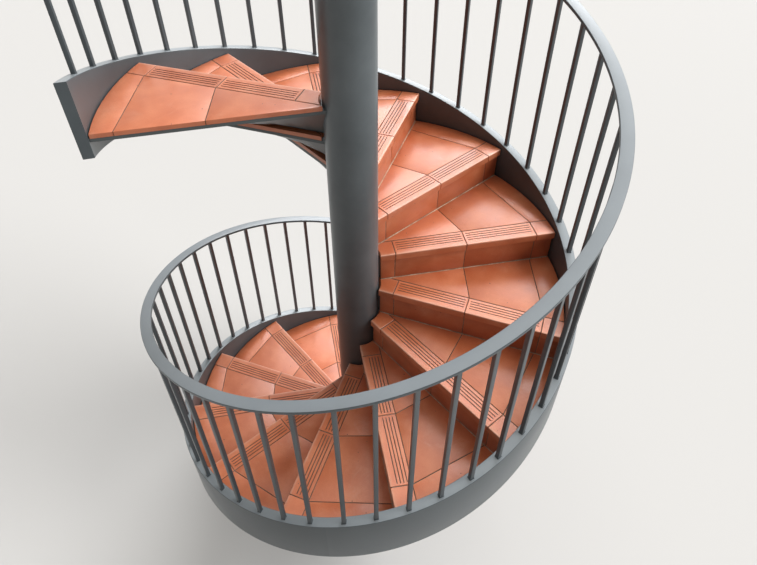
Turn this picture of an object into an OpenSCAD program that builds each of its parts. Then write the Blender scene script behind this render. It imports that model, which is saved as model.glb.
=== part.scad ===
// Spiral staircase: a round steel column carries twelve treads a turn.
// The treads are closed steel trays faced with terracotta tile, and their outer
// ends are held by a box stringer that winds up in a helix round the column.
// Square balusters stand on the stringer and carry a flat steel handrail.
// Millimetres, +Z up. The origin is on the column's axis at floor level.
// The stair climbs counter-clockwise, seen from above.

/* [Stair] */
// Height of one riser
riser_h = 173; // [150:1:200]
// Number of treads from the floor to the top
tread_count = 17; // [12:1:20]
// Treads in one full turn
treads_per_turn = 12; // [10:1:16]
// Direction of the first tread's nosing, in degrees from +X
first_nosing_angle = -320; // [-360:5:360]

/* [Column] */
// Outside diameter of the column
column_d = 216.3; // [165.2:0.1:267.4]
// How far the column rises above the top tread
column_above_top = 1040; // [900:10:1300]

/* [Base plate] */
// Diameter of the base plate
base_d = 420; // [360:10:520]
// Thickness of the base plate
base_t = 20; // [12:1:30]
// Bolt circle of the base plate
base_pcd = 340; // [300:5:440]
// Diameter of each anchor hole
base_hole_d = 22; // [14:1:27]
// Number of anchor holes
base_hole_count = 8; // [4:1:12]

/* [Column cap] */
// Thickness of the cap
cap_t = 10; // [5:1:20]
// How far the cap stands out past the column
cap_lip = 3; // [0:0.5:8]

/* [Treads] */
// Radius at which the treads end, inside the stringer
tread_r = 984; // [800:1:1200]
// Gap between the column and the tiles
inner_gap = 5; // [2:1:12]
// Thickness of the floor tile with its bed
tile_t = 20; // [12:1:30]
// Thickness of the riser tile
riser_tile_t = 12; // [8:1:20]
// How far the nosing tile stands out past the riser tile
nosing_out = 12; // [5:1:30]
// Depth of the nosing tile's front lip
lip_h = 38; // [25:1:60]
// Depth of the steel tray's edge below the tile at the back
tray_edge_h = 14; // [8:1:40]
// Width of the tray's foot behind the riser tile
tray_foot_w = 6; // [4:1:30]
// How far a tread runs on behind the riser above it
tread_lap = 45; // [20:5:100]

/* [Stringer] */
// Radius of the stringer's middle line
stringer_r = 1009; // [850:1:1250]
// Thickness of the stringer
stringer_t = 45; // [20:1:80]
// Height of the stringer, measured plumb
stringer_h = 320; // [200:5:450]
// Plumb height of the stringer's top edge above the nosing line
stringer_up = 30; // [0:1:80]

/* [Railing] */
// Side of a square baluster
baluster_w = 18; // [12:1:25]
// Spacing of the balusters on the three lower lengths, in degrees
first_pitch = 7.775; // [6:0.005:10]
second_pitch = 7.17; // [6:0.005:10]
third_pitch = 7.7; // [6:0.005:10]
// Spacing of the balusters on the top length, in degrees
top_pitch = 9.06; // [6:0.005:10]
// Width of the handrail
rail_w = 50; // [30:1:80]
// Thickness of the handrail
rail_t = 15; // [8:1:40]
// Plumb height of the rail's underside above the stringer's top edge
rail_up = 888; // [800:1:1000]

/* [Hidden] */
step_angle = 360 / treads_per_turn;
column_r = column_d / 2;
top_z = tread_count * riser_h;
column_h = top_z + column_above_top;
tile_r0 = column_r + inner_gap;
stringer_in = stringer_r - stringer_t / 2;
stringer_out = stringer_r + stringer_t / 2;
rise_per_degree = riser_h / step_angle;
flight_start = first_nosing_angle - step_angle / 3;
flight_end = first_nosing_angle + (tread_count + 0.1) * step_angle;
sweep_step = 3;

// The stringer and the rail are made in four lengths. For each one: where it
// starts and ends, the direction of its first baluster, and their spacing.
lower_joint = -191;
middle_joint = -97.5;
upper_joint = -28;
sections = [
    [flight_start, lower_joint, -326.9, first_pitch],
    [lower_joint, middle_joint, -187.6, second_pitch],
    [middle_joint, upper_joint, -93.1, third_pitch],
    [upper_joint, flight_end, -24.7, top_pitch]];
// The smallest turn left between a baluster and the joint after it
end_clear = 1;
// Overlap where two solids of one piece meet
bite = 1;
// Facets of a round steel part
round_fn = 96;

// Nosing direction and top height of the tread with number n, from 1
function nosing_angle(n) = first_nosing_angle + (n - 1) * step_angle;
function tread_z(n) = n * riser_h;

// Height of the nosing line at a direction, so that it passes each nosing
function nosing_line_z(a) = riser_h + (a - first_nosing_angle) * rise_per_degree;
function stringer_top_z(a) = nosing_line_z(a) + stringer_up;

// A point at a radius, direction and height
function polar(r, a, z) = [r * cos(a), r * sin(a), z];

// A band that winds round the column: a rectangle of the given radii whose
// lower and upper edges follow the nosing line from direction a0 to a1, and
// which is cut level where it would go below the floor
module helical_band(r0, r1, low, high, a0, a1) {
    count = max(2, ceil((a1 - a0) / sweep_step));
    rings = [for (i = [0:count])
        let (a = a0 + (a1 - a0) * i / count,
             z = nosing_line_z(a),
             foot = max(0, z + low))
        [polar(r0, a, foot), polar(r1, a, foot),
         polar(r1, a, z + high), polar(r0, a, z + high)]];
    points = [for (ring = rings) for (p = ring) p];
    sides = [for (i = [0:count - 1]) for (k = [0:3])
        let (n = (k + 1) % 4)
        each [[4 * i + k, 4 * i + 4 + k, 4 * i + 4 + n],
              [4 * i + k, 4 * i + 4 + n, 4 * i + n]]];
    last = 4 * count;
    ends = [[0, 1, 2, 3], [last + 3, last + 2, last + 1, last]];
    polyhedron(points = points, faces = concat(sides, ends), convexity = 6);
}

// Outline of a wedge between two lines that run out from the column.
// The front line is moved forward and the back line backward by given widths.
module wedge_outline(r0, r1, front, back, sweep) {
    arc_steps = 8;
    outer_front = asin(front / r1);
    outer_back = asin(back / r1);
    inner_front = asin(front / r0);
    inner_back = asin(back / r0);
    polygon(concat(
        [for (i = [0:arc_steps])
            let (a = -outer_front + (sweep + outer_front + outer_back) * i / arc_steps)
            [r1 * cos(a), r1 * sin(a)]],
        [for (i = [0:arc_steps])
            let (a = sweep + inner_back
                 - (sweep + inner_front + inner_back) * i / arc_steps)
            [r0 * cos(a), r0 * sin(a)]]));
}

// How far out a line at the distance y from the radius meets the circle r
function reach(r, y) = sqrt(r * r - y * y);

// The tiles of a tread in its own frame: nosing line along +X, top at z 0
module tread_tiles() {
    end_x = reach(tread_r, nosing_out);
    // Floor tiles, which run on behind the riser above
    translate([0, 0, -tile_t - bite])
        linear_extrude(tile_t + bite)
            wedge_outline(tile_r0, tread_r, nosing_out, tread_lap, step_angle);
    // Front lip of the nosing tile
    translate([tile_r0, -nosing_out, -lip_h])
        cube([end_x - tile_r0, nosing_out + bite, lip_h - tile_t]);
    // Riser tile, which stands on the tread below
    translate([tile_r0, 0, -riser_h])
        cube([end_x - tile_r0, riser_tile_t + bite, riser_h - tile_t]);
}

// The closed steel tray under the tiles. It is level on top, and its soffit
// slopes from the back edge down to the foot of the riser. Its outer end fits
// the stringer, and its inner end is cut to the column's round.
module tread_tray() {
    inner_r = column_r - 3 * bite;
    difference() {
        hull() {
            translate([0, 0, -tile_t - tray_edge_h])
                linear_extrude(tray_edge_h)
                    wedge_outline(inner_r, stringer_in, -riser_tile_t, tread_lap, step_angle);
            translate([inner_r, riser_tile_t, -riser_h])
                cube([reach(stringer_in, riser_tile_t + tray_foot_w) - inner_r,
                      tray_foot_w, tray_foot_w]);
        }
        translate([0, 0, -riser_h - bite])
            cylinder(h = riser_h + bite, r = column_r, $fn = round_fn);
    }
}

module tread(n) {
    difference() {
        translate([0, 0, tread_z(n)])
            rotate([0, 0, nosing_angle(n)]) {
                tread_tiles();
                tread_tray();
            }
        // The first tread is cut out round the base plate
        if (n == 1)
            translate([0, 0, -1])
                cylinder(h = base_t + 1, d = base_d, $fn = round_fn);
    }
}

module base_plate() {
    color("#6f7475")
        difference() {
            cylinder(h = base_t, d = base_d, $fn = round_fn);
            for (i = [0:base_hole_count - 1])
                rotate([0, 0, (i + 0.5) * 360 / base_hole_count])
                    translate([base_pcd / 2, 0, -1])
                        cylinder(h = base_t + 2, d = base_hole_d, $fn = 48);
        }
}

module column() {
    color("#7e8485")
        translate([0, 0, base_t])
            cylinder(h = column_h - base_t, r = column_r, $fn = round_fn);
}

module column_cap() {
    color("#7e8485")
        translate([0, 0, column_h])
            cylinder(h = cap_t, r = column_r + cap_lip, $fn = round_fn);
}

module stringer(section) {
    color("#7a8081")
        helical_band(stringer_in, stringer_out, stringer_up - stringer_h, stringer_up,
                     section[0], section[1]);
}

module handrail(section) {
    low = stringer_up + rail_up;
    color("#6f7577")
        helical_band(stringer_r - rail_w / 2, stringer_r + rail_w / 2, low, low + rail_t,
                     section[0], section[1]);
}

// One baluster from the stringer's top edge to the rail's underside
module baluster(a) {
    sink = baluster_w / 2 * rise_per_degree * 180 / PI / stringer_r;
    translate([0, 0, stringer_top_z(a) - sink])
        rotate([0, 0, a])
            translate([stringer_r - baluster_w / 2, -baluster_w / 2, 0])
                cube([baluster_w, baluster_w, rail_up + 2 * sink]);
}

module balusters(section) {
    color("#747a7b")
        for (a = [section[2]:section[3]:section[1] - end_clear])
            baluster(a);
}

base_plate();
column();
column_cap();
color("#a2563a") tread(1);  // tread_01
color("#a2563a") tread(2);  // tread_02
color("#a2563a") tread(3);  // tread_03
color("#a2563a") tread(4);  // tread_04
color("#a2563a") tread(5);  // tread_05
color("#a2563a") tread(6);  // tread_06
color("#a2563a") tread(7);  // tread_07
color("#a2563a") tread(8);  // tread_08
color("#a2563a") tread(9);  // tread_09
color("#a2563a") tread(10);  // tread_10
color("#a2563a") tread(11);  // tread_11
color("#a2563a") tread(12);  // tread_12
color("#a2563a") tread(13);  // tread_13
color("#a2563a") tread(14);  // tread_14
color("#a2563a") tread(15);  // tread_15
color("#a2563a") tread(16);  // tread_16
color("#a2563a") tread(17);  // tread_17
stringer(sections[0]);  // stringer_1
stringer(sections[1]);  // stringer_2
stringer(sections[2]);  // stringer_3
stringer(sections[3]);  // stringer_4
balusters(sections[0]);  // balusters_1
balusters(sections[1]);  // balusters_2
balusters(sections[2]);  // balusters_3
balusters(sections[3]);  // balusters_4
handrail(sections[0]);  // handrail_1
handrail(sections[1]);  // handrail_2
handrail(sections[2]);  // handrail_3
handrail(sections[3]);  // handrail_4
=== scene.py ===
# %% [markdown]
# # A spiral staircase of tiled treads round a steel column
#
# A round steel column stands on a base plate. Seventeen treads wind up round it,
# each a closed steel tray faced with terracotta tile. A curved box stringer
# holds their outer ends, and square balusters carry a flat handrail above it.
# The packed model gives every size and place. This script makes what the eye
# looks for: real tiles with joints and grooves, rounded steel edges, and finishes.

# %% Load the packed model
import math
import random

import bpy
from mathutils import Matrix, Vector


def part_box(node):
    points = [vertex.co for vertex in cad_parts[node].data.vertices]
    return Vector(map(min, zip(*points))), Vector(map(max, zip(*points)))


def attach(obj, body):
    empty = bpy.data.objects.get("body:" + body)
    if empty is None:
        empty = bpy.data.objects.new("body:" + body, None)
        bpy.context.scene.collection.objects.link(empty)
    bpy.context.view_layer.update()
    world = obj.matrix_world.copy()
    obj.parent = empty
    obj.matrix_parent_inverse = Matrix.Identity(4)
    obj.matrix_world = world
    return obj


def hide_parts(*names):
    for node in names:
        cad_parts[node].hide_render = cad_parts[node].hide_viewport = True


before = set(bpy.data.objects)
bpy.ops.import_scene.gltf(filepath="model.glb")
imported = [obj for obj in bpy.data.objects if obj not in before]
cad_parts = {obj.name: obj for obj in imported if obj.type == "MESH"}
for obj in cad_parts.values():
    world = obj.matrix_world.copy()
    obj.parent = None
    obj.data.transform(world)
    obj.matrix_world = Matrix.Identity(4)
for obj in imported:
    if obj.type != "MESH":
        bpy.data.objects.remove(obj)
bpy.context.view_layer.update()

# %% [markdown]
# ## The camera
#
# The photograph looks steeply down into the stair from about the height of its
# top. The camera could be placed by eye, but its height, tilt and lens were
# solved from the column, the tread corners and the foot of each baluster, so the
# values here are real metres and degrees. The picture is cut from a larger one,
# so its optical centre lies up and left of its middle. Blender's lens shift, in
# image widths, moves the frame the same way. Only about a third of the
# best-fitting shift is used, so that the stair stays in frame when it is seen
# from elsewhere.

# %% Place the camera
IMAGE_WIDTH = 757
FOCAL_PX = 619.3
PITCH_DOWN = math.radians(42.67)
YAW = math.radians(5.155)
ROLL = math.radians(-4.266)
CENTRE_LEFT_PX = 48.5
CENTRE_UP_PX = 44.5
CAMERA_PLACE = (0.0745, -2.1062, 4.1573)

level_right = Vector((math.cos(YAW), math.sin(YAW), 0))
level_ahead = Vector((-math.sin(YAW), math.cos(YAW), 0))
ahead = level_ahead * math.cos(PITCH_DOWN) - Vector((0, 0, math.sin(PITCH_DOWN)))
plumb_up = level_right.cross(ahead)
right = level_right * math.cos(ROLL) + plumb_up * math.sin(ROLL)
up = plumb_up * math.cos(ROLL) - level_right * math.sin(ROLL)

camera = bpy.data.objects.new("camera", bpy.data.cameras.new("camera"))
bpy.context.scene.collection.objects.link(camera)
turn = Matrix((right, up, -ahead)).transposed().to_4x4()
camera.matrix_world = Matrix.Translation(CAMERA_PLACE) @ turn
camera.data.sensor_width = 36
camera.data.lens = FOCAL_PX / IMAGE_WIDTH * camera.data.sensor_width
camera.data.shift_x = CENTRE_LEFT_PX / IMAGE_WIDTH
camera.data.shift_y = -CENTRE_UP_PX / IMAGE_WIDTH
bpy.context.scene.camera = camera
print("lens mm:", round(camera.data.lens, 2))

# %% [markdown]
# ## The stair's own measures
#
# Everything on a stair follows from a few numbers: the height of a riser, the
# turn of a tread, and the radii of the column, the treads and the stringer. All
# could be typed in, but those that the box of a packed node gives are read from
# it, so they stay true to the model. The rest are the values it was built with:
# a tread laps 45 mm under the next one, the stringer's top edge runs 30 mm over
# the nosings, and the rail runs 888 mm over that edge.

# %% Measures in metres
MM = 0.001
TREADS = 17
STEP = math.radians(30)
FIRST_NOSING = math.radians(-320)
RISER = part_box("tread_02")[1].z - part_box("tread_01")[1].z
COLUMN_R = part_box("column")[1].x
TREAD_R = 0.984
TREAD_LAP = 0.045
STRINGER_R = 1.009
STRINGER_T = 0.045
STRINGER_H = 0.320
STRINGER_UP = 0.030
RAIL_UP = 0.888
RAIL_W = 0.050
RAIL_T = 0.015
print("riser mm:", round(RISER / MM, 1), "column radius mm:", round(COLUMN_R / MM, 1))

# %% [markdown]
# ## The line of the nosings
#
# A nosing is the front edge of a tread. A line over all the nosings climbs one
# riser in every step's turn, and the stringer and the rail run along it. Two
# small functions give it, so that no piece needs its own sum for its height.

# %% Directions and heights on the stair
def nosing_angle(number):
    """Direction of a tread's nosing, for a tread numbered from 1."""
    return FIRST_NOSING + (number - 1) * STEP


def nosing_line_z(angle):
    """Height of the line that passes over every nosing."""
    return RISER + (angle - FIRST_NOSING) * RISER / STEP


print("top nosing m:", round(nosing_line_z(nosing_angle(TREADS)), 3))

# %% [markdown]
# ## Colours and nodes
#
# Colours are written as the sRGB hex that a painter would pick from a chart, and
# one function turns them to the linear values that the shader adds up. One more
# function adds a node, sets its values and links its inputs, so that each
# material below reads as a list of what is laid over what.

# %% Colour and node helpers
def linear(hex_colour):
    """An sRGB colour such as "d0744a" as linear red, green, blue and alpha."""
    parts = [int(hex_colour[i : i + 2], 16) / 255 for i in (0, 2, 4)]
    flat = [c / 12.92 if c <= 0.04045 else ((c + 0.055) / 1.055) ** 2.4 for c in parts]
    return (*flat, 1.0)


def grey(value):
    return (value, value, value, 1.0)


def add(tree, kind, inputs=None, stops=(), **settings):
    """Adds a node. Inputs are values, or sockets to link, by name or number.

    Stops, as (place, colour), fill the node's colour ramp.
    """
    made = tree.nodes.new(kind)
    for name, value in settings.items():
        setattr(made, name, value)
    for name, value in (inputs or {}).items():
        if isinstance(value, bpy.types.NodeSocket):
            tree.links.new(value, made.inputs[name])
        else:
            made.inputs[name].default_value = value
    if stops:
        elements = made.color_ramp.elements
        while len(elements) < len(stops):
            elements.new(0.5)
        for element, (place, colour) in zip(elements, stops):
            element.position = place
            element.color = colour
    return made


def new_material(name):
    made = bpy.data.materials.new(name)
    made.use_nodes = True
    made.node_tree.nodes.clear()
    return made, made.node_tree


print("terracotta in linear values:", [round(c, 3) for c in linear("d0744a")[:3]])

# %% [markdown]
# ## Making a piece from points
#
# Every piece here is a mesh whose points are worked out from the stair's
# measures. It could be modelled by hand from primitives, but the tiles and the
# steel follow circles and helices, and a formula puts each point exactly there.
# A builder collects the points of many small parts, so that the tiles of one
# tread become one mesh. It also keeps three things for the finishes: where each
# point lies on its own tile, a tone for the tile, and how much the point is worn.

# %% Mesh builder
class Builder:
    def __init__(self):
        self.points = []
        self.faces = []
        self.places = []
        self.tones = []
        self.wears = []

    def add(self, points, faces, tone=0.5, shift=(0.0, 0.0, 0.0), wears=None):
        """Takes in one closed part with its tone, pattern shift and wear."""
        start = len(self.points)
        self.points += [Vector(p) for p in points]
        self.faces += [tuple(start + i for i in face) for face in faces]
        self.places += [Vector(p) + Vector(shift) for p in points]
        self.tones += [tone] * len(points)
        self.wears += wears or [0.0] * len(points)

    def piece(self, name, finish, slot, place=Matrix.Identity(4), smooth_angle=35):
        """Makes the mesh. Edges over the angle in degrees stay sharp, and None is flat."""
        mesh = bpy.data.meshes.new(name)
        mesh.from_pydata([place @ p for p in self.points], [], self.faces)
        mesh.validate()
        mesh.attributes.new("tile_place", "FLOAT_VECTOR", "POINT").data.foreach_set(
            "vector", [c for p in self.places for c in p])
        mesh.attributes.new("tile_tone", "FLOAT", "POINT").data.foreach_set("value", self.tones)
        mesh.attributes.new("edge_wear", "FLOAT", "POINT").data.foreach_set("value", self.wears)
        mesh.materials.append(finish)
        made = bpy.data.objects.new(name, mesh)
        bpy.context.scene.collection.objects.link(made)
        if smooth_angle is not None:
            mesh.shade_smooth()
            mesh.set_sharp_from_angle(angle=math.radians(smooth_angle))
        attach(made, "root")
        return made


print("the builder keeps:", list(vars(Builder())))

# %% [markdown]
# ## Lofting
#
# A tile, a tray, a length of rail and a bolt all have one section that changes
# little from end to end. Lofting joins such sections, each a ring with the same
# number of points, and closes the two ends, so every part is a closed solid.
# Blender's Bridge Edge Loops would join them too, but it needs edit mode and a
# selection, and a list of faces needs neither.

# %% Loft and arc
def loft(rings):
    """Joins equal rings of points into a closed tube with flat ends."""
    count = len(rings[0])
    points = [p for ring in rings for p in ring]
    faces = []
    for i in range(len(rings) - 1):
        for k in range(count):
            n = (k + 1) % count
            faces.append((i * count + k, i * count + n, (i + 1) * count + n, (i + 1) * count + k))
    faces.append(tuple(reversed(range(count))))
    last = (len(rings) - 1) * count
    faces.append(tuple(last + k for k in range(count)))
    return points, faces


def arc(radius, start, end, steps=8):
    """Points of an arc round the origin, as (x, y)."""
    return [(radius * math.cos(start + (end - start) * i / steps),
             radius * math.sin(start + (end - start) * i / steps)) for i in range(steps + 1)]


print("points on a quarter arc:", len(arc(1, 0, math.pi / 2)))

# %% [markdown]
# ## Finish: fired terracotta
#
# Terracotta is red clay, pressed or extruded and fired without a glaze. The eye
# gets a matt to satin orange-brown surface. The kiln makes each tile a little
# lighter or darker and mottles it over a hand's width, and fine sand shows as a
# grain. Upright faces are darker, partly because no shoe rubs them clean and
# partly as painted shade. A picture of clay could be wrapped round the tiles, but
# noise needs no unwrapping and never repeats. It starts from each tile's own
# place, so it stops at every joint.

# %% The clay's own colour
MOTTLE_W = 110 * MM
# The real sand grains of about 0.5 mm would not show, so they are drawn coarser
GRAIN_W = 2.5 * MM


def fired_clay(tree, place, tone):
    """Colour of the clay before wear, with kiln mottling, grain, and darker upright faces, partly painted
    shade.
    """
    mottle = add(tree, "ShaderNodeTexNoise",
                 {"Vector": place, "Scale": 1 / MOTTLE_W, "Detail": 4.0, "Roughness": 0.5})
    clay = add(tree, "ShaderNodeValToRGB", {"Fac": mottle.outputs["Fac"]}, stops=[
        (0.30, linear("c76a41")), (0.50, linear("d0744a")), (0.68, linear("d88057"))])
    # Each tile's own tone from the kiln, and darker upright faces, partly painted shade
    lift = add(tree, "ShaderNodeMapRange", {"Value": tone, "To Min": 0.88, "To Max": 1.05})
    facing = add(tree, "ShaderNodeSeparateXYZ",
                 {"Vector": add(tree, "ShaderNodeNewGeometry").outputs["Normal"]})
    # Upright faces down to 0.8 of the colour: partly painted shade, partly unrubbed clay
    upright = add(tree, "ShaderNodeMapRange",
                  {"Value": facing.outputs["Z"], "From Min": 0.2, "From Max": 0.9,
                   "To Min": 0.80, "To Max": 1.0})
    value = add(tree, "ShaderNodeMath",
                {0: lift.outputs["Result"], 1: upright.outputs["Result"]}, operation="MULTIPLY")
    toned_and_shaded = add(tree, "ShaderNodeHueSaturation",
                {"Color": clay.outputs["Color"], "Value": value.outputs["Value"]})
    grain = add(tree, "ShaderNodeTexNoise",
                {"Vector": place, "Scale": 1 / GRAIN_W, "Detail": 3.0, "Roughness": 0.7})
    grain_tint = add(tree, "ShaderNodeValToRGB", {"Fac": grain.outputs["Fac"]}, stops=[
        (0.32, grey(0.80)), (0.55, grey(1.0)), (0.8, grey(1.1))])
    sanded = add(tree, "ShaderNodeMix",
                 {"Factor": 0.55, "A": toned_and_shaded.outputs["Color"], "B": grain_tint.outputs["Color"]},
                 data_type="RGBA", blend_type="MULTIPLY")
    return sanded.outputs["Result"], mottle.outputs["Fac"], grain.outputs["Fac"]


print("mottling and grain mm:", round(MOTTLE_W / MM), round(GRAIN_W / MM, 1))

# %% [markdown]
# ## Wear and dirt on the tiles
#
# A tile floor that is waxed and mopped gets pale smudges, and a few air holes
# from the firing stay as dark pits. Shoes polish the front edge pale, and the
# grooves are coloured darker. Wear and the darker grooves could be painted on by
# hand, but here the mesh says where they are: above zero on the rubbed edge and
# below zero in a groove. The smudges break up the rubbed edge, so that it doesn't
# look drawn with a ruler.

# %% Smudges, pits, rubbed edges and darker grooves
SMUDGE_W = 140 * MM
PIT_SPACING = 55 * MM


def worn_tile(tree, place, wear, colour, grain):
    """Lays smudges, pits and wear over a colour. Gives the pits as a mask too."""
    # Pale bloom of wax and lime
    smudge = add(tree, "ShaderNodeTexNoise",
                 {"Vector": place, "Scale": 1 / SMUDGE_W, "Detail": 7.0, "Roughness": 0.68,
                  "Distortion": 0.6})
    smudged = add(tree, "ShaderNodeValToRGB", {"Fac": smudge.outputs["Fac"]}, stops=[
        (0.56, grey(0.0)), (0.78, grey(0.17))])
    bloomed = add(tree, "ShaderNodeMix",
                  {"Factor": smudged.outputs["Color"], "A": colour, "B": linear("e8c4ab")},
                  data_type="RGBA")
    # Air holes, with a ragged rim from the grain
    pits = add(tree, "ShaderNodeTexVoronoi", {"Vector": place, "Scale": 1 / PIT_SPACING})
    ragged = add(tree, "ShaderNodeMath", {0: pits.outputs["Distance"], 1: grain}, operation="MULTIPLY")
    pit_mask = add(tree, "ShaderNodeValToRGB", {"Fac": ragged.outputs["Value"]}, stops=[
        (0.016, grey(1.0)), (0.028, grey(0.0))])
    pitted = add(tree, "ShaderNodeMix",
                 {"Factor": pit_mask.outputs["Color"], "A": bloomed.outputs["Result"],
                  "B": linear("6b3a26")}, data_type="RGBA")
    rub = add(tree, "ShaderNodeMath", {0: wear, 1: smudge.outputs["Fac"]},
              operation="MULTIPLY", use_clamp=True)
    rubbed = add(tree, "ShaderNodeMix",
                 {"Factor": rub.outputs["Value"], "A": pitted.outputs["Result"],
                  "B": linear("ecccb4")}, data_type="RGBA")
    # Darker in the grooves, where the wear is below zero
    low = add(tree, "ShaderNodeMath", {0: wear, 1: -0.75}, operation="MULTIPLY", use_clamp=True)
    darker_in_grooves = add(tree, "ShaderNodeMix",
                {"Factor": low.outputs["Value"], "A": rubbed.outputs["Result"],
                 "B": linear("4a2a1c")}, data_type="RGBA")
    return darker_in_grooves.outputs["Result"], pit_mask.outputs["Color"]


print("smudges and spacing of pits mm:", round(SMUDGE_W / MM), round(PIT_SPACING / MM))

# %% [markdown]
# ## The whole terracotta
#
# The colour goes into one Principled shader. The fine relief could be real
# geometry, but it is a millimetre deep at most, so three bumps in a chain give it:
# sand grain, the waves of a pressed tile, and the pits. A thin coat stands for
# the wax, and gives the broad pale sheen of a waxed clay floor.

# %% Terracotta
def make_terracotta(name):
    made, tree = new_material(name)
    place = add(tree, "ShaderNodeAttribute", attribute_name="tile_place").outputs["Vector"]
    tone = add(tree, "ShaderNodeAttribute", attribute_name="tile_tone").outputs["Fac"]
    wear = add(tree, "ShaderNodeAttribute", attribute_name="edge_wear").outputs["Fac"]
    clay, mottle, grain = fired_clay(tree, place, tone)
    colour, pit_mask = worn_tile(tree, place, wear, clay, grain)
    rough = add(tree, "ShaderNodeMapRange",
                {"Value": mottle, "From Min": 0.3, "From Max": 0.7, "To Min": 0.31, "To Max": 0.47})
    grain_bump = add(tree, "ShaderNodeBump",
                     {"Height": grain, "Strength": 0.25, "Distance": 0.4 * MM})
    wave_bump = add(tree, "ShaderNodeBump",
                    {"Height": mottle, "Strength": 0.25, "Distance": 0.8 * MM,
                     "Normal": grain_bump.outputs["Normal"]})
    pit_bump = add(tree, "ShaderNodeBump",
                   {"Height": pit_mask, "Strength": 0.8, "Distance": 1.0 * MM,
                    "Normal": wave_bump.outputs["Normal"]}, invert=True)
    shader = add(tree, "ShaderNodeBsdfPrincipled",
                 {"Base Color": colour, "Roughness": rough.outputs["Result"],
                  "Normal": pit_bump.outputs["Normal"], "IOR": 1.5,
                  "Coat Weight": 0.3, "Coat Roughness": 0.32})
    add(tree, "ShaderNodeOutputMaterial", {"Surface": shader.outputs["BSDF"]})
    return made


terracotta = make_terracotta("fired_terracotta")
print("made", terracotta.name)

# %% [markdown]
# ## Finish: cement grout
#
# The joints are filled with a sandy cement grout. It is rough and has no shine.
# Clean grout is a pale beige, as in the fillet at the foot of a riser, and shoes
# and mop water turn the joints of the floor dark. Two materials could show that,
# but one is enough, because the mesh carries a tone from 0 for trodden to 1 for
# clean.

# %% Grout
STAIN_W = 60 * MM
# The real sand grains of about 0.5 mm would not show, so they are drawn coarser
SAND_W = 1.5 * MM


def make_grout(name):
    made, tree = new_material(name)
    place = add(tree, "ShaderNodeTexCoord").outputs["Object"]
    dirt = add(tree, "ShaderNodeTexNoise",
               {"Vector": place, "Scale": 1 / STAIN_W, "Detail": 6.0, "Roughness": 0.7})
    tint = add(tree, "ShaderNodeValToRGB", {"Fac": dirt.outputs["Fac"]}, stops=[
        (0.35, linear("8d7563")), (0.5, linear("b59c84")), (0.65, linear("d8c4ad"))])
    clean = add(tree, "ShaderNodeAttribute", attribute_name="tile_tone").outputs["Fac"]
    trodden = add(tree, "ShaderNodeMapRange", {"Value": clean, "To Min": 0.28, "To Max": 1.0})
    joint = add(tree, "ShaderNodeHueSaturation",
                {"Color": tint.outputs["Color"], "Value": trodden.outputs["Result"]})
    sand = add(tree, "ShaderNodeTexNoise", {"Vector": place, "Scale": 1 / SAND_W, "Detail": 2.0})
    bump = add(tree, "ShaderNodeBump",
               {"Height": sand.outputs["Fac"], "Strength": 0.5, "Distance": 0.5 * MM})
    shader = add(tree, "ShaderNodeBsdfPrincipled",
                 {"Base Color": joint.outputs["Color"], "Roughness": 0.9,
                  "Normal": bump.outputs["Normal"]})
    add(tree, "ShaderNodeOutputMaterial", {"Surface": shader.outputs["BSDF"]})
    return made


grout = make_grout("cement_grout")
print("made", grout.name)

# %% [markdown]
# ## Finish: grey gloss paint on steel
#
# All the steel has the same alkyd gloss, brushed and rolled on by hand. The eye
# gets a satin sheen that the roller's orange peel breaks up a little, with faint
# clouds where coats overlap. Handling leaves hair scratches and, on the parts
# that get knocked, a few chips that show dark primer. A plain grey would look
# like plastic, so each trace is a noise of its own real size, cut off by a ramp.

# %% Coats, chips and scratches
CHIP_W = 9 * MM
CHIP_PATCH_W = 320 * MM


def chipped_mask(tree, place, share):
    """White where the paint is chipped. A greater share gives more chips."""
    chips = add(tree, "ShaderNodeTexNoise",
                {"Vector": place, "Scale": 1 / CHIP_W, "Detail": 6.0, "Roughness": 0.75})
    patches = add(tree, "ShaderNodeTexNoise",
                  {"Vector": place, "Scale": 1 / CHIP_PATCH_W, "Detail": 2.0})
    both = add(tree, "ShaderNodeMath",
               {0: chips.outputs["Fac"], 1: patches.outputs["Fac"]}, operation="MULTIPLY")
    mask = add(tree, "ShaderNodeValToRGB", {"Fac": both.outputs["Value"]}, stops=[
        (0.47 - share, grey(0.0)), (0.485 - share, grey(1.0))])
    return mask.outputs["Color"]


def scratched_coats(tree, place, clouds, light, dark):
    """Colour of the paint, with clouds of overlapping coats and hair scratches."""
    coat = add(tree, "ShaderNodeValToRGB", {"Fac": clouds}, stops=[
        (0.30, linear(dark)), (0.70, linear(light))])
    # Hair scratches: a noise 4 mm wide, drawn out to 45 mm along the height
    stretch = add(tree, "ShaderNodeMapping", {"Vector": place, "Scale": (9.0, 9.0, 0.8)},
                  vector_type="POINT")
    hairs = add(tree, "ShaderNodeTexNoise",
                {"Vector": stretch.outputs["Vector"], "Scale": 28.0, "Detail": 4.0, "Roughness": 0.8})
    hair_mask = add(tree, "ShaderNodeValToRGB", {"Fac": hairs.outputs["Fac"]}, stops=[
        (0.73, grey(0.0)), (0.76, grey(0.5))])
    scratched = add(tree, "ShaderNodeMix",
                    {"Factor": hair_mask.outputs["Color"], "A": coat.outputs["Color"],
                     "B": linear("5c6164")}, data_type="RGBA")
    return scratched.outputs["Result"]


print("chips and their patches mm:", round(CHIP_W / MM), round(CHIP_PATCH_W / MM))

# %% [markdown]
# ## Dust and painted sheen on the upper faces
#
# Dust settles on what faces up and dulls it to a paler grey. The same paler grey
# also stands for a painted sheen of light on the tops, so a rail or the top edge
# of a stringer looks lighter than its sides. It could be painted on, but the way
# a face points is enough to place it: none lies on a face steeper than about 40
# degrees. The clouds of the coats make it uneven.

# %% Dust and painted sheen
DUST_AND_SHEEN_NONE_Z = 0.75
DUST_AND_SHEEN_FULL_Z = 0.97


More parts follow.
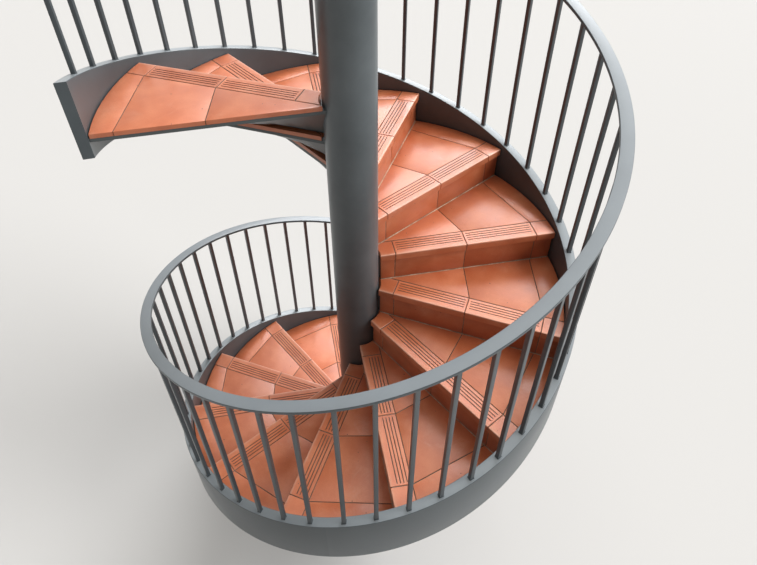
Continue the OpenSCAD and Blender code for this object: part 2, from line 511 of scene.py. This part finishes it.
def lay_dust_and_sheen(tree, clouds, colour, dust_and_sheen_colour):
    """Lays dust and a painted sheen over a colour, by the height of the face's normal."""
    facing = add(tree, "ShaderNodeSeparateXYZ",
                 {"Vector": add(tree, "ShaderNodeNewGeometry").outputs["Normal"]})
    upper = add(tree, "ShaderNodeMapRange",
                {"Value": facing.outputs["Z"], "From Min": DUST_AND_SHEEN_NONE_Z, "From Max": DUST_AND_SHEEN_FULL_Z,
                 "To Max": 0.6})
    patchy = add(tree, "ShaderNodeMapRange", {"Value": clouds, "To Min": 0.85, "To Max": 1.10})
    dust_and_sheen = add(tree, "ShaderNodeMath",
               {0: upper.outputs["Result"], 1: patchy.outputs["Result"]}, operation="MULTIPLY")
    with_dust_and_sheen = add(tree, "ShaderNodeMix",
                {"Factor": dust_and_sheen.outputs["Value"], "A": colour, "B": linear(dust_and_sheen_colour)},
                data_type="RGBA")
    return with_dust_and_sheen.outputs["Result"]


print("no dust over degrees of slope:", round(math.degrees(math.acos(DUST_AND_SHEEN_NONE_Z))))

# %% [markdown]
# ## The whole paint, in five tints
#
# The column, the stringer, the rail, the balusters and the trays show the paint
# in slightly different greys. The greys are darker than the paint itself, and
# differ from part to part, as painted shade; the balusters are darkest. Five
# materials could be drawn one by one, but one function with five sets of colours
# keeps them alike. The roughness starts at 0.29, because the renderer's noise
# filter treats smoother paint in another way and would draw a line where the
# roughness crosses that step.

# %% Gloss paint
CLOUD_W = 250 * MM
PEEL_W = 5 * MM


def make_paint(name, light, dark, dust_and_sheen_colour, chip_share, rough):
    made, tree = new_material(name)
    place = add(tree, "ShaderNodeTexCoord").outputs["Object"]
    # Overlapping coats
    clouds = add(tree, "ShaderNodeTexNoise",
                 {"Vector": place, "Scale": 1 / CLOUD_W, "Detail": 6.0,
                  "Roughness": 0.6}).outputs["Fac"]
    coats = scratched_coats(tree, place, clouds, light, dark)
    # Dust, with a painted sheen, on the upper faces
    with_dust_and_sheen = lay_dust_and_sheen(tree, clouds, coats, dust_and_sheen_colour)
    chip_mask = chipped_mask(tree, place, chip_share)
    chipped = add(tree, "ShaderNodeMix", {"Factor": chip_mask, "A": with_dust_and_sheen, "B": linear("3a3532")},
                  data_type="RGBA")
    sheen = add(tree, "ShaderNodeMapRange",
                {"Value": clouds, "From Min": 0.2, "From Max": 0.8,
                 "To Min": rough, "To Max": rough + 0.12})
    # Orange peel from the roller
    peel = add(tree, "ShaderNodeTexNoise",
               {"Vector": place, "Scale": 1 / PEEL_W, "Detail": 2.0, "Roughness": 0.5})
    peel_bump = add(tree, "ShaderNodeBump",
                    {"Height": peel.outputs["Fac"], "Strength": 0.12, "Distance": 0.3 * MM})
    chip_bump = add(tree, "ShaderNodeBump",
                    {"Height": chip_mask, "Strength": 0.5, "Distance": 0.3 * MM,
                     "Normal": peel_bump.outputs["Normal"]}, invert=True)
    shader = add(tree, "ShaderNodeBsdfPrincipled",
                 {"Base Color": chipped.outputs["Result"], "Roughness": sheen.outputs["Result"],
                  "Normal": chip_bump.outputs["Normal"], "IOR": 1.5})
    add(tree, "ShaderNodeOutputMaterial", {"Surface": shader.outputs["BSDF"]})
    return made


# One paint in five greys, darkened part by part as painted shade. The third colour of each is dust with a
# painted sheen.
column_paint = make_paint("column_gloss_paint", "596063", "495053", "7e8589", 0.0, 0.29)
stringer_paint = make_paint("stringer_gloss_paint", "4a5256", "3d4549", "b4bbbf", 0.02, 0.29)
railing_paint = make_paint("handrail_gloss_paint", "495155", "3f474b", "b2b9be", 0.0, 0.29)
baluster_paint = make_paint("baluster_gloss_paint", "3f464a", "353c40", "8b9397", 0.0, 0.29)
tray_paint = make_paint("tray_gloss_paint", "4c5253", "404647", "6a7071", 0.0, 0.38)
print("made", [m.name for m in (column_paint, stringer_paint, railing_paint, baluster_paint, tray_paint)])

# %% [markdown]
# ## The section of a step tile
#
# The front edge of each tread is a row of step tiles: 95 mm deep, with a lip
# that hangs down over the riser, a rounded nose, and four grooves that grip a
# shoe. A plain box with painted lines would look flat at this angle, so the
# section is drawn once as a list of points, from the lip over the nose to the
# back.

# %% Section with a nose and grooves
TILE_T = 20 * MM
RISER_TILE_T = 12 * MM
NOSING_OUT = 12 * MM
NOSING_BACK = 83 * MM
LIP_H = 36 * MM
JOINT = 4 * MM
MORTAR_T = 1 * MM
RISER_FRONT = 1 * MM
NOSE_R = 4 * MM
NOSE_STEPS = 5
RUBBED_W = 8 * MM
EDGE_R = 1.4 * MM
GROOVES = [21 * MM, 36 * MM, 51 * MM, 66 * MM]
GROOVE_W = 4.5 * MM
GROOVE_D = 3 * MM
GROOVE_LIP = 0.3 * MM


def groove_section(middle, depth):
    """One groove across the tile, as (y, z, wear). Its walls and floor are coloured darker."""
    half = GROOVE_W / 2
    dirt = -1.0 if depth else 0.0
    return [(middle - half - GROOVE_LIP, 0, 0.0), (middle - half, 0, dirt * 0.5),
            (middle - half * 0.8, -depth, dirt), (middle + half * 0.8, -depth, dirt),
            (middle + half, 0, dirt * 0.5), (middle + half + GROOVE_LIP, 0, 0.0)]


def nosing_section(depth):
    """The step tile's section as (y, z, wear), with grooves of a given depth."""
    front, back, underside = -NOSING_OUT, NOSING_BACK, -TILE_T + MORTAR_T
    section = [(front, -LIP_H, 0.0), (front, -NOSE_R, 0.1)]
    for k in range(1, NOSE_STEPS):
        a = math.pi / 2 * k / NOSE_STEPS
        section.append((front + NOSE_R * (1 - math.cos(a)), -NOSE_R * (1 - math.sin(a)), 0.6))
    section += [(front + NOSE_R, 0, 0.5), (front + NOSE_R + RUBBED_W, 0, 0.1)]
    for middle in GROOVES:
        section += groove_section(middle, depth)
    section += [(back - EDGE_R, 0, 0.1), (back, -EDGE_R, 0.0), (back, underside, 0.0),
                (RISER_FRONT, underside, 0.0), (RISER_FRONT, -LIP_H, 0.0)]
    return section


print("grooves mm behind the nosing:", [round(g / MM) for g in GROOVES])

# %% [markdown]
# ## A whole step tile
#
# Grooves could be cut into a box with Boolean modifiers, but a loft along the
# nosing makes them with clean faces. They sink in only between two stations near
# the tile's ends, as on a pressed tile, and the first station has its top a
# little lower, which gives the worn end its round edge.

# %% One step tile
GROOVE_END = 9 * MM
GROOVE_RUN = 4 * MM


def step_tile(start, end, grooved):
    """Points, faces and wear of a step tile. Start and end give x at each y."""
    stations = [(0, EDGE_R, 0), (EDGE_R, 0, 0), (GROOVE_END, 0, 0), (GROOVE_END + GROOVE_RUN, 0, 1)]
    rings, wears = [], []
    for edge, inward in ((start, 1), (end, -1)):
        for along, inset, sunk in stations[::inward]:
            ring = []
            for y, z, wear in nosing_section(GROOVE_D * sunk if grooved else 0.0):
                ring.append((edge(y) + inward * along, y, z - inset if z > -EDGE_R else z))
                wears.append(wear)
            rings.append(ring)
    points, faces = loft(rings)
    return points, faces, wears


print("grooves stop mm before the tile's end:", round(GROOVE_END / MM))

# %% [markdown]
# ## Floor and riser tiles
#
# Behind the step tiles lie larger floor tiles, cut to the wedge of the tread,
# and smaller ones stand upright as risers. Each is a slab with a worn, slightly
# rounded arris. A Bevel modifier would round it too, but stepping the outline
# inward as it rises needs only two more rings, and keeps the slab closed.

# %% Slabs from outlines
def inset_outline(outline, amount):
    """Moves every side of a convex outline inward, which runs counter-clockwise."""
    count = len(outline)
    lines = []
    for i in range(count):
        a = Vector(outline[i])
        b = Vector(outline[(i + 1) % count])
        along = (b - a).normalized()
        inward = Vector((-along.y, along.x))
        lines.append((a + inward * amount, along))
    moved = []
    for i in range(count):
        (p, d), (q, e) = lines[i - 1], lines[i]
        cross = d.x * e.y - d.y * e.x
        if abs(cross) < 1e-6:
            moved.append(q)
            continue
        t = ((q.x - p.x) * e.y - (q.y - p.y) * e.x) / cross
        moved.append(p + d * t)
    return moved


def slab(outline, bottom, top, edge=EDGE_R):
    """A closed slab over an outline with a rounded upper edge."""
    levels = [(bottom, 0), (top - edge, 0), (top - edge * 0.3, edge * 0.3), (top, edge)]
    rings = [[(p.x, p.y, z) for p in inset_outline(outline, inset)] for z, inset in levels]
    return loft(rings)


print("a square slab has", len(slab([(0, 0), (1, 0), (1, 1), (0, 1)], 0, TILE_T)[0]), "points")

# %% [markdown]
# ## How a tread is cut up
#
# All seventeen treads have the same cuts, so the outlines are worked out once,
# with the nosing along X and the column's axis at the origin. Three joints cross
# the step tiles and the riser at set distances from that axis. The outer two
# carry on through the floor tiles to the back edge, and end there at nearly the
# same distances. Big tiles could be cut with Boolean modifiers, but then their
# worn arrises would be cut off too. The tiles stop 12 mm short of the round
# column and follow its curve.

# %% The tread's edges
TILE_GAP = 12 * MM
INNER_X = COLUMN_R + TILE_GAP
JOINTS = [0.193, 0.543, 0.890]
BACK_JOINTS = [0.552, 0.893]
OUTER_R = TREAD_R - 2 * MM
FIELD_Y = NOSING_BACK + JOINT


def back_point(radius):
    """A point on the tread's back edge, behind a point of the next nosing."""
    on_line = Vector((radius * math.cos(STEP), radius * math.sin(STEP)))
    behind = Vector((-math.sin(STEP), math.cos(STEP)))
    return on_line + behind * TREAD_LAP


def outer_x(y):
    """Where the tiles end, at the round rim of the tread."""
    return math.sqrt(OUTER_R ** 2 - y ** 2)


def inner_x(y, clear=0.0):
    """Where the tiles stop, a small gap away from the round column."""
    return math.sqrt((INNER_X + clear) ** 2 - y ** 2)


print("tiles lie between radii mm:", round(INNER_X / MM, 1), round(OUTER_R / MM, 1))

# %% [markdown]
# ## Outlines of the cut tiles
#
# A floor tile is a four-sided wedge, but the outermost one ends in the round rim
# of the tread. A riser tile is a plain rectangle under the step tile's lip. The
# outlines could be drawn by hand, but worked out from the joints they always
# meet, and each keeps half a joint clear on both sides.

# %% Floor and riser outlines
NARROW_END = math.sqrt(INNER_X ** 2 - TREAD_LAP ** 2)
LIP_JOINT = 3 * MM
RIM_ROOM = 1 * MM


def field_outlines():
    """Outlines of the floor tiles behind the step tiles, counter-clockwise."""
    half = JOINT / 2
    near, far = JOINTS[1:]
    near_back, far_back = BACK_JOINTS
    first = [(inner_x(FIELD_Y), FIELD_Y), (near - half, FIELD_Y),
             back_point(near_back - half), back_point(NARROW_END)]
    second = [(near + half, FIELD_Y), (far - half, FIELD_Y),
              back_point(far_back - half), back_point(near_back + half)]
    rim = arc(OUTER_R, math.asin(FIELD_Y / OUTER_R), STEP + math.asin(TREAD_LAP / OUTER_R))
    third = [(far + half, FIELD_Y), *rim, back_point(far_back + half)]
    return [first, second, third]


def riser_outlines():
    """Outlines of the riser tiles as (x, height), counter-clockwise."""
    low, high, half = -RISER + JOINT, -LIP_H - LIP_JOINT, JOINT / 2
    ends = [INNER_X, *JOINTS, outer_x(RISER_TILE_T) - RIM_ROOM]
    return [[(a + half, low), (b - half, low), (b - half, high), (a + half, high)]
            for a, b in zip(ends, ends[1:])]


print("floor and riser tiles on a tread:", len(field_outlines()), len(riser_outlines()))

# %% [markdown]
# ## Laying the tiles
#
# No two real tiles are alike, and a tiler's hand never sets two quite level. They
# could be varied by hand, but a random draw with a seed does it the same way at
# each run: it gives every tile a tone, its own part of the pattern, and a hair's
# breadth in height. Only the two long step tiles have grooves, and the cut pieces
# at the column and the stringer are plain.

# %% Lay one tread's tiles
STEP_TILE_DIP = 0.3 * MM
FIELD_TILE_DIP = 0.4 * MM
PATTERN_SPREAD = 3.0
GROOVED = (1, 2)


def pattern_shift(draw):
    return [draw.uniform(0, PATTERN_SPREAD) for _ in range(3)]


def lay_tiles(draw):
    """Step, floor and riser tiles of one tread, each with its own draw."""
    tiles = Builder()
    ends = [INNER_X, *JOINTS]
    for k in range(len(ends)):
        tone = draw.uniform(0, 1)
        shift = pattern_shift(draw)
        dip = Vector((0, 0, draw.uniform(-STEP_TILE_DIP, 0.0)))
        start = (lambda y, x=ends[k]: x + JOINT / 2) if k else inner_x
        end = (lambda y, x=ends[k + 1]: x - JOINT / 2) if k + 1 < len(ends) else outer_x
        points, faces, wears = step_tile(start, end, k in GROOVED)
        tiles.add([Vector(p) + dip for p in points], faces, tone, shift, wears)
    for outline in field_outlines():
        points, faces = slab(outline, -TILE_T + MORTAR_T, draw.uniform(-FIELD_TILE_DIP, 0.0))
        tiles.add(points, faces, draw.uniform(0, 1), pattern_shift(draw))
    for outline in riser_outlines():
        points, faces = slab(outline, 0, RISER_TILE_T - RISER_FRONT)
        front = [(x, RISER_TILE_T - depth, z) for x, z, depth in points]
        tiles.add(front, faces, draw.uniform(0, 1), pattern_shift(draw))
    return tiles


print("largest dip of a tile mm:", round(FIELD_TILE_DIP / MM, 1))

# %% [markdown]
# ## The bed of grout
#
# Under the tiles is a bed of grout, a little lower than they are, and it shows
# as the joints. It could be cut into thin strips, one to a joint, but one slab
# under all the tiles leaves no gap. A second slab stands behind the riser tiles,
# and a small fillet fills the corner at the foot of the riser.

# %% Lay one tread's grout
BED_INSET = 3 * MM
JOINT_DEPTH = 2.2 * MM
BED_EDGE = 0.2 * MM
RISER_JOINT_FRONT = 3 * MM
FILLET_HALF = 2 * MM
FILLET_H = 3 * MM
TRODDEN, SHELTERED, CLEAN = 0.0, 0.25, 1.0


def lay_bed(sunk):
    """Grout under and behind the tiles. The fillet's foot is sunk in the tread below."""
    bed = Builder()
    rim = arc(OUTER_R - BED_INSET, -math.asin(BED_INSET / OUTER_R),
              STEP + math.asin((TREAD_LAP - BED_INSET) / OUTER_R))
    inner = back_point(NARROW_END + 2 * BED_INSET)
    curve = [(inner_x(y * MM, BED_INSET), y * MM) for y in (80, 60, 40, 20, 0)]
    near = INNER_X + BED_INSET
    outline = [(near, -NOSING_OUT + BED_INSET), *rim, (inner.x, inner.y - BED_INSET), *curve]
    points, faces = slab(outline, -TILE_T, -JOINT_DEPTH, BED_EDGE)
    bed.add(points, faces, TRODDEN)
    far = outer_x(RISER_TILE_T) - BED_INSET
    upright = [(near, -RISER), (far, -RISER), (far, -TILE_T), (near, -TILE_T)]
    points, faces = slab(upright, 0, RISER_TILE_T - RISER_JOINT_FRONT, BED_EDGE)
    bed.add([(x, RISER_TILE_T - depth, z) for x, z, depth in points], faces, SHELTERED)
    foot = [(FILLET_HALF, -RISER - sunk), (-FILLET_HALF, -RISER - sunk),
            (FILLET_HALF, -RISER + FILLET_H)]
    bed.add(*loft([[(x, y, z) for y, z in foot] for x in (near, far)]), CLEAN)
    return bed


print("joints mm wide and deep:", round(JOINT / MM, 1), round(JOINT_DEPTH / MM, 1))

# %% [markdown]
# ## The steel tray
#
# A closed tray of folded steel carries the tiles. Its front is the riser, and
# its soffit slopes from the foot of the riser up to the thin back edge. Seen
# from below it is a smooth wedge that fans out from the column, so it is lofted
# outwards from there, with each section bent to its own radius.

# %% Fold the tray
TRAY_EDGE_H = 14 * MM
TRAY_FOOT_W = 6 * MM
TRAY_CLEAR = 1 * MM
TRAY_SECTIONS = 12
TOP_POINTS = 9


def form_tray():
    """The closed steel tray: sections from the column out to the stringer."""
    tray = Builder()
    rings = []
    inner, outer = COLUMN_R, STRINGER_R - STRINGER_T / 2
    low = -RISER + TRAY_CLEAR
    for i in range(TRAY_SECTIONS + 1):
        r = inner + (outer - inner) * i / TRAY_SECTIONS
        front = math.asin(RISER_TILE_T / r)
        foot = math.asin((RISER_TILE_T + TRAY_FOOT_W) / r)
        back = STEP + math.asin(TREAD_LAP / r)
        section = [(front, -TILE_T), (front, low), (foot, low),
                   (back, -TILE_T - TRAY_EDGE_H), (back, -TILE_T)]
        section += [(back + (front - back) * k / TOP_POINTS, -TILE_T) for k in range(1, TOP_POINTS)]
        rings.append([(r * math.cos(a), r * math.sin(a), z) for a, z in section])
    tray.add(*loft(rings))
    return tray


print("sections in a tray:", TRAY_SECTIONS + 1)

# %% [markdown]
# ## The seventeen treads
#
# Each tread is made where the nosing lies along X, then turned and lifted into
# place. One mesh with seventeen copies would be lighter, but then every tread
# would show the same tiles. The tiles replace the packed tread, and the grout and
# the tray go with them, so one tread is three pieces with three finishes.

# %% Lay the treads
# The lowest fillet stands on the floor, and the others sink into a tread
FILLET_SINK = 1 * MM
draw = random.Random(173)
for number in range(1, TREADS + 1):
    node = f"tread_{number:02d}"
    place = (Matrix.Translation((0, 0, number * RISER))
             @ Matrix.Rotation(nosing_angle(number), 4, "Z"))
    tiles = lay_tiles(draw).piece(
        f"{node}_tiles", terracotta, "terracotta_tile", place, smooth_angle=40)
    bed = lay_bed(FILLET_SINK if number > 1 else 0.0)
    bed.piece(f"{node}_grout", grout, "terracotta_tile", place, smooth_angle=None)
    form_tray().piece(f"{node}_tray", tray_paint, "stringer_paint", place, smooth_angle=25)
    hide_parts(node)
print("treads laid:", TREADS)

# %% [markdown]
# ## The stringer
#
# The stringer is a box of steel plate, 45 mm thick and 320 mm deep, rolled to
# the curve of the stair. A Screw modifier could sweep it, but a formula keeps it
# plumb: at each direction the same upright rectangle is set on the nosing line.
# Its edges are ground to a small radius, which catches the light.

# %% Sections carried round the column
SWEEP_STEP = math.radians(1.5)


def rounded_rectangle(half_w, low, high, radius, steps=4):
    """An upright rectangle with rounded corners, as (outward, height)."""
    corners = [(-1, low, math.pi), (1, low, 1.5 * math.pi), (1, high, 0.0), (-1, high, 0.5 * math.pi)]
    outline = []
    for side, edge, start in corners:
        centre_y = edge + radius if edge == low else edge - radius
        for k in range(steps + 1):
            a = start + math.pi / 2 * k / steps
            outline.append((side * (half_w - radius) + radius * math.cos(a),
                            centre_y + radius * math.sin(a)))
    return outline


def sweep(section, start, end, on_floor=False):
    """Carries an upright section round the column along the nosing line."""
    count = max(2, round((end - start) / SWEEP_STEP))
    rings = []
    for i in range(count + 1):
        a = start + (end - start) * i / count
        z = nosing_line_z(a)
        ring = []
        for outward, height in section:
            level = max(0.0, z + height) if on_floor else z + height
            r = STRINGER_R + outward
            ring.append((r * math.cos(a), r * math.sin(a), level))
        rings.append(ring)
    return loft(rings)


print("sections in a whole turn:", round(2 * math.pi / SWEEP_STEP))

# %% [markdown]
# ## Four lengths of stringer and rail
#
# A stair like this comes to the site in lengths that are welded together. The
# stringer's first length is cut off level at the floor. The handrail is a flat
# steel bar that follows the same curve 888 mm higher, so the same function makes
# both.

# %% Sweep the stringer and the handrail
START = FIRST_NOSING - STEP / 3
END = FIRST_NOSING + (TREADS + 0.1) * STEP
WELDS = [math.radians(-191), math.radians(-97.5), math.radians(-28)]
LENGTH_ENDS = [START, *WELDS, END]
STRINGER_EDGE = 3 * MM
RAIL_EDGE = 2.5 * MM
# Room on each side of the bar, so that it stays within the packed model's box
RAIL_ROOM = 0.3 * MM

box_section = rounded_rectangle(STRINGER_T / 2, STRINGER_UP - STRINGER_H, STRINGER_UP, STRINGER_EDGE)
rail_low = STRINGER_UP + RAIL_UP
rail_section = rounded_rectangle(RAIL_W / 2 - RAIL_ROOM, rail_low, rail_low + RAIL_T, RAIL_EDGE)
for k in range(len(LENGTH_ENDS) - 1):
    box = Builder()
    box.add(*sweep(box_section, LENGTH_ENDS[k], LENGTH_ENDS[k + 1], on_floor=True))
    made = box.piece(f"stringer_box_{k + 1}", stringer_paint, "stringer_paint")
    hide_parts(f"stringer_{k + 1}")
    rail = Builder()
    rail.add(*sweep(rail_section, LENGTH_ENDS[k], LENGTH_ENDS[k + 1]))
    made = rail.piece(f"handrail_bar_{k + 1}", railing_paint, "railing_paint")
    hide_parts(f"handrail_{k + 1}")
print("lengths end at degrees:", [round(math.degrees(a), 1) for a in LENGTH_ENDS])

# %% [markdown]
# ## A baluster
#
# A baluster is a square steel bar that stands on the stringer's top edge and is
# welded under the rail. Its arrises are rolled to a small radius, and its foot
# and head are cut to the slope of the stair. A thin bead of weld rings both. So
# a bar is a loft of rounded squares, each tilted to the slope and a little wider
# at the beads.

# %% One bar
BALUSTER_W = 18 * MM
ARRIS = 1.5 * MM
BEAD = 2 * MM
BAR_SINK = 1 * MM
SLOPE = RISER / STEP / STRINGER_R


def bar_ring(half, a, z):
    """The rounded square of a bar at direction a, on the slope at height z."""
    ring = []
    for side_x, side_y, turn_start in ((1, 1, 0), (-1, 1, 90), (-1, -1, 180), (1, -1, 270)):
        for k in (0, 1, 2):
            t = math.radians(turn_start + 45 * k)
            x = STRINGER_R + side_x * (half - ARRIS) + ARRIS * math.cos(t)
            y = side_y * (half - ARRIS) + ARRIS * math.sin(t)
            ring.append((x * math.cos(a) - y * math.sin(a), x * math.sin(a) + y * math.cos(a),
                         z + y * SLOPE))
    return ring


def baluster(a):
    """A welded bar at direction a, from the stringer to the rail."""
    foot = nosing_line_z(a) + STRINGER_UP
    head = foot + RAIL_UP
    half = BALUSTER_W / 2
    levels = [(foot - BAR_SINK, half + BEAD), (foot, half + BEAD),
              (foot + 0.7 * BEAD, half + 0.3 * BEAD), (foot + 1.5 * BEAD, half),
              (head - 1.5 * BEAD, half), (head - 0.7 * BEAD, half + 0.3 * BEAD),
              (head, half + BEAD), (head + BAR_SINK, half + BEAD)]
    return loft([bar_ring(w, a, z) for z, w in levels])


print("slope of the stringer in degrees:", round(math.degrees(math.atan(SLOPE)), 1))

# %% [markdown]
# ## Setting out the balusters
#
# The bars are spaced evenly on each length of stringer, but not the same on all
# four. An Array modifier could repeat a bar, but each has to be cut to its own
# height and direction. So each length has its first direction and its spacing in
# degrees, and bars follow until a degree before the length ends.

# %% Stand the balusters
FIRST_AND_SPACING = [(-326.9, 7.775), (-187.6, 7.17), (-93.1, 7.7), (-24.7, 9.06)]
END_MARGIN = 1

for k, (first, spacing) in enumerate(FIRST_AND_SPACING):
    bars = Builder()
    degrees = first
    while degrees < math.degrees(LENGTH_ENDS[k + 1]) - END_MARGIN:
        bars.add(*baluster(math.radians(degrees)))
        degrees += spacing
    made = bars.piece(f"baluster_bars_{k + 1}", baluster_paint, "railing_paint")
    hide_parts(f"balusters_{k + 1}")
    print("up to degrees:", round(degrees - spacing, 1))

# %% [markdown]
# ## The column and its base
#
# The column is a plain drawn pipe, and the packed model already has its true
# shape, so it only gets its paint. The base plate is held by eight anchor bolts.
# Each shows a washer, a nut and the end of the stud, and all three are prisms
# with a small chamfer: a hexagon for the nut and near circles for the others.

# %% Paint the column and bolt its base
BOLTS = 8
BOLT_CIRCLE_R = 170 * MM
WASHER_R, WASHER_T = 18.5 * MM, 3 * MM
NUT_R, NUT_H = 16 * MM, 14 * MM
STUD_R, STUD_H = 9.5 * MM, 9 * MM
CHAMFER = 1 * MM

for name in ("column", "column_cap", "base_plate"):
    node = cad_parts[name]
    node.data.materials.clear()
    node.data.materials.append(column_paint)


def prism(sides, radius, low, high, x, y, turn_by=0.0):
    """An upright prism at x and y, with a chamfer round its top."""
    rings = []
    for z, inset in ((low, 0), (high - CHAMFER, 0), (high, CHAMFER)):
        rings.append([(x + (radius - inset) * math.cos(turn_by + 2 * math.pi * k / sides),
                       y + (radius - inset) * math.sin(turn_by + 2 * math.pi * k / sides), z)
                      for k in range(sides)])
    return loft(rings)


base_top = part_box("base_plate")[1].z
nut_low = base_top + WASHER_T
nut_high = nut_low + NUT_H
anchors = Builder()
for k in range(BOLTS):
    a = (k + 0.5) * 2 * math.pi / BOLTS
    x, y = BOLT_CIRCLE_R * math.cos(a), BOLT_CIRCLE_R * math.sin(a)
    anchors.add(*prism(28, WASHER_R, base_top, nut_low, x, y))
    anchors.add(*prism(6, NUT_R, nut_low, nut_high, x, y, turn_by=a))
    anchors.add(*prism(20, STUD_R, nut_high, nut_high + STUD_H, x, y))
anchors.piece("anchor_bolts", column_paint, "column_paint")
print("anchor bolts stand mm above the floor:", round((nut_high + STUD_H) / MM))

# %% [markdown]
# ## The floor
#
# The stair stands on a plain pale floor, so that nothing takes the eye from it.
# A plane with four corners would show its edge against the background, so the
# floor is a wide disc.

# %% Floor
FLOOR_R = 60.0
floor_mesh = bpy.data.meshes.new("floor")
floor_rim = [(x, y, 0) for x, y in arc(FLOOR_R, 0, 2 * math.pi, 128)[:-1]]
floor_mesh.from_pydata(floor_rim, [], [tuple(range(len(floor_rim)))])
floor = bpy.data.objects.new("floor", floor_mesh)
bpy.context.scene.collection.objects.link(floor)
floor_finish, tree = new_material("pale_floor")
shader = add(tree, "ShaderNodeBsdfPrincipled", {"Base Color": linear("c2c0bd"), "Roughness": 0.9})
add(tree, "ShaderNodeOutputMaterial", {"Surface": shader.outputs["BSDF"]})
floor_mesh.materials.append(floor_finish)
print("floor radius m:", FLOOR_R)

# %% [markdown]
# ## Background
#
# A dim, slightly cool world fills the shade. A bright one would give a white
# background too, but it would also wash out the shadows. So the background is
# white only to the camera and to rays that leave a shiny surface or glass, and
# the Light Path node tells those rays from the ones that light the stair.

# %% World
world = bpy.data.worlds.new("studio")
bpy.context.scene.world = world
world.use_nodes = True
tree = world.node_tree
tree.nodes.clear()
path = add(tree, "ShaderNodeLightPath")
seen = add(tree, "ShaderNodeMath",
           {0: path.outputs["Is Camera Ray"], 1: path.outputs["Is Glossy Ray"]}, operation="MAXIMUM")
seen = add(tree, "ShaderNodeMath",
           {0: seen.outputs["Value"], 1: path.outputs["Is Transmission Ray"]}, operation="MAXIMUM")
fill = add(tree, "ShaderNodeBackground", {"Color": linear("f2f4f8"), "Strength": 0.07})
white = add(tree, "ShaderNodeBackground", {"Color": grey(1.0), "Strength": 1.0})
mix = add(tree, "ShaderNodeMixShader",
          {0: seen.outputs["Value"], 1: fill.outputs["Background"], 2: white.outputs["Background"]})
add(tree, "ShaderNodeOutputWorld", {"Surface": mix.outputs["Shader"]})
print("fill strength:", fill.inputs["Strength"].default_value)

# %% [markdown]
# ## Light
#
# The photograph has soft daylight from the right and from behind, and a little
# from above. A lamp close by would light the near steps more than the far ones,
# so three suns shine evenly on the whole stair. Each is tens of degrees wide,
# which keeps the shadows soft. The first two stand 30 to 40 degrees up, and the
# one behind throws the sheen of the waxed clay towards the camera.

# %% Suns
def soft_sun(name, towards, strength, spread, colour):
    """A sun that shines towards a direction, with its spread in degrees."""
    lamp = bpy.data.objects.new(name, bpy.data.lights.new(name, "SUN"))
    lamp.data.energy = strength
    lamp.data.angle = math.radians(spread)
    lamp.data.color = linear(colour)[:3]
    lamp.rotation_mode = "QUATERNION"
    lamp.rotation_quaternion = Vector(towards).to_track_quat("-Z", "Y")
    bpy.context.scene.collection.objects.link(lamp)
    return lamp


suns = [soft_sun("sun_right", (-0.86, 0.10, -0.50), 3.5, 42, "ffffff"),
        soft_sun("sun_behind", (-0.30, -0.74, -0.60), 3.2, 42, "fcfdff"),
        soft_sun("sun_above", (-0.05, -0.15, -0.99), 1.0, 60, "fffdf8")]
bpy.context.scene.view_settings.view_transform = "Standard"
print("suns:", [sun.name for sun in suns])

# %% [markdown]
# The dressed stair has to stay inside the packed model's box.
